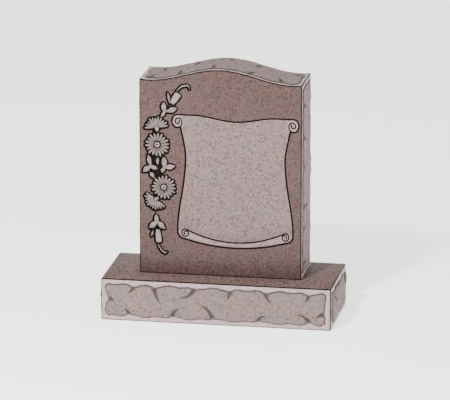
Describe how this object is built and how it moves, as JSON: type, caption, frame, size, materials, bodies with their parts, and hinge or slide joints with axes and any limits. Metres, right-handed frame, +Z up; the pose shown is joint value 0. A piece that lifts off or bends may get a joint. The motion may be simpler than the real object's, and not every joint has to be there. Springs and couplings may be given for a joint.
{
  "type": "granite headstone",
  "caption": "Upright granite headstone: a serpentine-top tablet, carved with a blank scroll panel and a spray of daisies, stands set back on a rock-pitched base.",
  "frame": {"origin": "middle of the base's underside, on the ground", "axes": "+Z up, -Y the way the carved front faces, +X to the viewer's right"},
  "size_m": [0.8896, 0.3816, 0.9566],
  "materials": {
    "polished_granite": "polished front and back, frosted carving, rock-pitched edges",
    "pitched_granite": "rock-pitched sides, polished top"
  },
  "bodies": {
    "root": {"tablet": "polished_granite", "base": "pitched_granite"}
  },
  "joints": []
}
